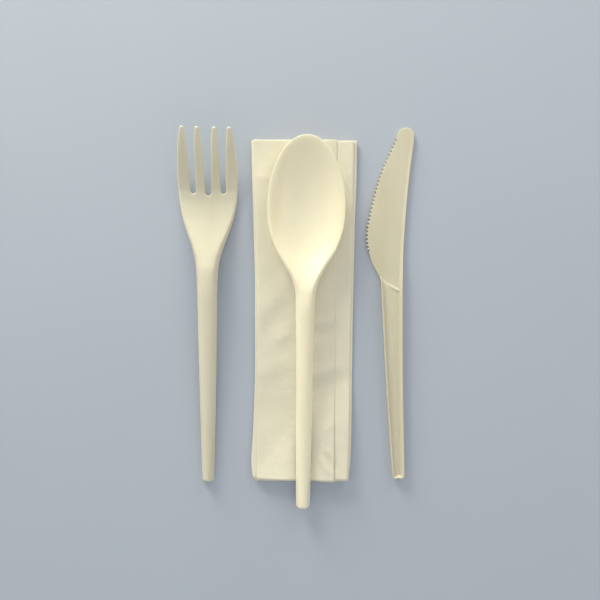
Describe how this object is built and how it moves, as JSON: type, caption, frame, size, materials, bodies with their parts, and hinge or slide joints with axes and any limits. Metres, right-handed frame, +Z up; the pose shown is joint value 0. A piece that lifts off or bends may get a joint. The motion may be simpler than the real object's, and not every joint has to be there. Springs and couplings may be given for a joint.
{
  "type": "cutlery pack",
  "caption": "Disposable fork, spoon and serrated knife of matte ivory plastic, with the spoon lying on a paper napkin folded into a long strip.",
  "frame": {"origin": "on the table, under the middle of the set's bounding box", "axes": "+Y from the handles' feet to the tips, +X from the fork to the knife, +Z up from the table that the set lies on"},
  "size_m": [0.1046, 0.175, 0.0129],
  "materials": {
    "cutlery_plastic": "satin moulded ivory plastic",
    "napkin_tissue": "soft uncoated tissue"
  },
  "bodies": {
    "root": {"fork": "cutlery_plastic", "spoon": "cutlery_plastic", "knife": "cutlery_plastic", "napkin": "napkin_tissue"}
  },
  "joints": []
}
